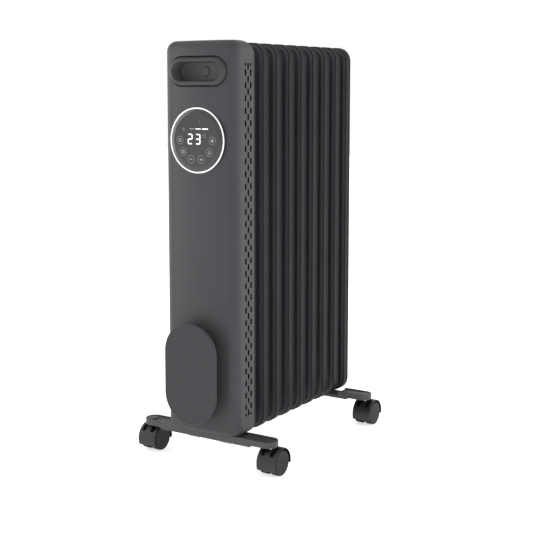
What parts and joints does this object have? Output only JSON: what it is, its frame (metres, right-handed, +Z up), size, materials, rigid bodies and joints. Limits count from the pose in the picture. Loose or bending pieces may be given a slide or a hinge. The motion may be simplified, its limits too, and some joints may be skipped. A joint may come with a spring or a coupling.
{
  "type": "oil filled radiator heater",
  "caption": "Upright oil filled radiator heater: finned column, control housing with recessed handle, round display and cord winder, on twin-wheel casters.",
  "frame": {"origin": "on the floor, below the middle of the heater's bounding box", "axes": "+Z up, -Y towards the front with the display, +X to the right seen from the front"},
  "size_m": [0.2604, 0.3897, 0.654],
  "materials": {
    "painted_steel": "satin charcoal powder coat",
    "charcoal_plastic": "fine satin grain, charcoal",
    "black_plastic": "satin black moulding",
    "zinc_steel": "zinc plated",
    "bright_ring": "bright polished",
    "dark_lens": "gloss smoked lens with lit symbols",
    "circuit_board": "green solder mask",
    "rubber": "matt black",
    "element_steel": "heat-tinted tube"
  },
  "bodies": {
    "heater": {"fin_1": "painted_steel", "fin_2": "painted_steel", "fin_3": "painted_steel", "fin_4": "painted_steel", "fin_5": "painted_steel", "fin_6": "painted_steel", "fin_7": "painted_steel", "fin_8": "painted_steel", "fin_9": "painted_steel", "upper_front_cap": "painted_steel", "upper_rear_cap": "painted_steel", "lower_rear_cap": "painted_steel", "oil_filler_plug": "zinc_steel", "heating_element": "element_steel", "element_gasket": "rubber", "mounting_plate": "zinc_steel", "housing": "painted_steel", "handle_cup": "charcoal_plastic", "power_switch": "black_plastic", "display_ring": "bright_ring", "display_lens": "dark_lens", "display_board": "circuit_board", "power_board": "circuit_board", "temperature_sensor": "zinc_steel", "thermal_cutout": "black_plastic", "tip_switch": "black_plastic", "cord_winder_post": "charcoal_plastic", "cord_winder_plate": "charcoal_plastic", "winder_screw_lower": "zinc_steel", "winder_screw_upper": "zinc_steel", "cord_gland": "rubber", "front_foot_bar": "painted_steel", "rear_foot_bar": "painted_steel", "front_bar_bracket": "zinc_steel", "wing_bolt_left": "zinc_steel", "wing_bolt_right": "zinc_steel", "rear_u_bolt": "zinc_steel", "wing_nut_left": "zinc_steel", "wing_nut_right": "zinc_steel"},
    "power_button": {"power_button": "charcoal_plastic"},
    "front_left_caster": {"front_left_caster_hood": "black_plastic", "front_left_caster_stem": "zinc_steel", "front_left_caster_axle": "zinc_steel"},
    "front_left_caster_wheel_left": {"front_left_caster_wheel_left": "black_plastic"},
    "front_left_caster_wheel_right": {"front_left_caster_wheel_right": "black_plastic"},
    "front_right_caster": {"front_right_caster_hood": "black_plastic", "front_right_caster_stem": "zinc_steel", "front_right_caster_axle": "zinc_steel"},
    "front_right_caster_wheel_left": {"front_right_caster_wheel_left": "black_plastic"},
    "front_right_caster_wheel_right": {"front_right_caster_wheel_right": "black_plastic"},
    "rear_left_caster": {"rear_left_caster_hood": "black_plastic", "rear_left_caster_stem": "zinc_steel", "rear_left_caster_axle": "zinc_steel"},
    "rear_left_caster_wheel_left": {"rear_left_caster_wheel_left": "black_plastic"},
    "rear_left_caster_wheel_right": {"rear_left_caster_wheel_right": "black_plastic"},
    "rear_right_caster": {"rear_right_caster_hood": "black_plastic", "rear_right_caster_stem": "zinc_steel", "rear_right_caster_axle": "zinc_steel"},
    "rear_right_caster_wheel_left": {"rear_right_caster_wheel_left": "black_plastic"},
    "rear_right_caster_wheel_right": {"rear_right_caster_wheel_right": "black_plastic"}
  },
  "joints": [
    {"name": "power_button_press", "type": "slide", "parent": "heater", "child": "power_button", "axis": [0, 1, 0], "range_m": [0, 0.0015], "stiffness_N_per_m": 500},
    {"name": "front_left_caster_swivel", "type": "hinge", "parent": "heater", "child": "front_left_caster", "pos_m": [-0.1137, -0.14075, 0.045], "axis": [0, 0, 1], "continuous": true},
    {"name": "front_left_caster_wheel_left_spin", "type": "hinge", "parent": "front_left_caster", "child": "front_left_caster_wheel_left", "pos_m": [-0.12405, -0.13425, 0.01975], "axis": [1, 0, 0], "continuous": true},
    {"name": "front_left_caster_wheel_right_spin", "type": "hinge", "parent": "front_left_caster", "child": "front_left_caster_wheel_right", "pos_m": [-0.10335, -0.13425, 0.01975], "axis": [1, 0, 0], "continuous": true},
    {"name": "front_right_caster_swivel", "type": "hinge", "parent": "heater", "child": "front_right_caster", "pos_m": [0.1137, -0.14075, 0.045], "axis": [0, 0, 1], "continuous": true},
    {"name": "front_right_caster_wheel_left_spin", "type": "hinge", "parent": "front_right_caster", "child": "front_right_caster_wheel_left", "pos_m": [0.10335, -0.13425, 0.01975], "axis": [1, 0, 0], "continuous": true},
    {"name": "front_right_caster_wheel_right_spin", "type": "hinge", "parent": "front_right_caster", "child": "front_right_caster_wheel_right", "pos_m": [0.12405, -0.13425, 0.01975], "axis": [1, 0, 0], "continuous": true},
    {"name": "rear_left_caster_swivel", "type": "hinge", "parent": "heater", "child": "rear_left_caster", "pos_m": [-0.1137, 0.1665, 0.045], "axis": [0, 0, 1], "continuous": true},
    {"name": "rear_left_caster_wheel_left_spin", "type": "hinge", "parent": "rear_left_caster", "child": "rear_left_caster_wheel_left", "pos_m": [-0.12405, 0.173, 0.01975], "axis": [1, 0, 0], "continuous": true},
    {"name": "rear_left_caster_wheel_right_spin", "type": "hinge", "parent": "rear_left_caster", "child": "rear_left_caster_wheel_right", "pos_m": [-0.10335, 0.173, 0.01975], "axis": [1, 0, 0], "continuous": true},
    {"name": "rear_right_caster_swivel", "type": "hinge", "parent": "heater", "child": "rear_right_caster", "pos_m": [0.1137, 0.1665, 0.045], "axis": [0, 0, 1], "continuous": true},
    {"name": "rear_right_caster_wheel_left_spin", "type": "hinge", "parent": "rear_right_caster", "child": "rear_right_caster_wheel_left", "pos_m": [0.10335, 0.173, 0.01975], "axis": [1, 0, 0], "continuous": true},
    {"name": "rear_right_caster_wheel_right_spin", "type": "hinge", "parent": "rear_right_caster", "child": "rear_right_caster_wheel_right", "pos_m": [0.12405, 0.173, 0.01975], "axis": [1, 0, 0], "continuous": true}
  ]
}
